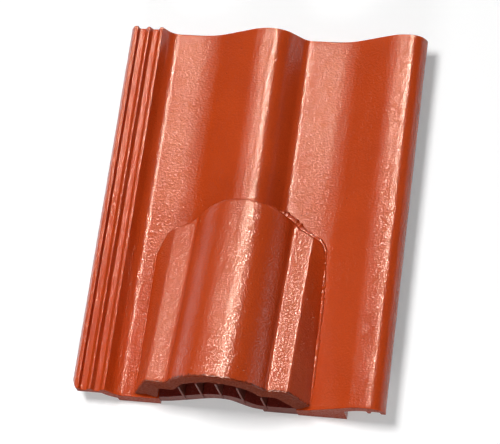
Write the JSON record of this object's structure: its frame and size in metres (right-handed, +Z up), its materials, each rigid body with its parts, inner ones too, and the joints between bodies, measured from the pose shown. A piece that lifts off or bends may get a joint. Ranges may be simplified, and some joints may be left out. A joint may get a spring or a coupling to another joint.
{
  "type": "ventilation roof tile",
  "caption": "Interlocking double-wave concrete roof tile with a domed cowl over an air hole and a finned grille in its mouth.",
  "frame": {"origin": "bottom centre of the whole part: middle of the tile's width and length, on the plane its feet and nibs rest on", "axes": "+X across the tile from the underlap to the cover lap, +Y up the slope from the eaves end to the head end, +Z up"},
  "size_m": [0.33, 0.42, 0.098],
  "materials": {
    "painted_concrete": "glossy brick-red paint over concrete",
    "grille_plastic": "satin, moulded"
  },
  "bodies": {
    "root": {"tile_body": "painted_concrete", "cowl": "painted_concrete", "vent_grille": "grille_plastic"}
  },
  "joints": []
}
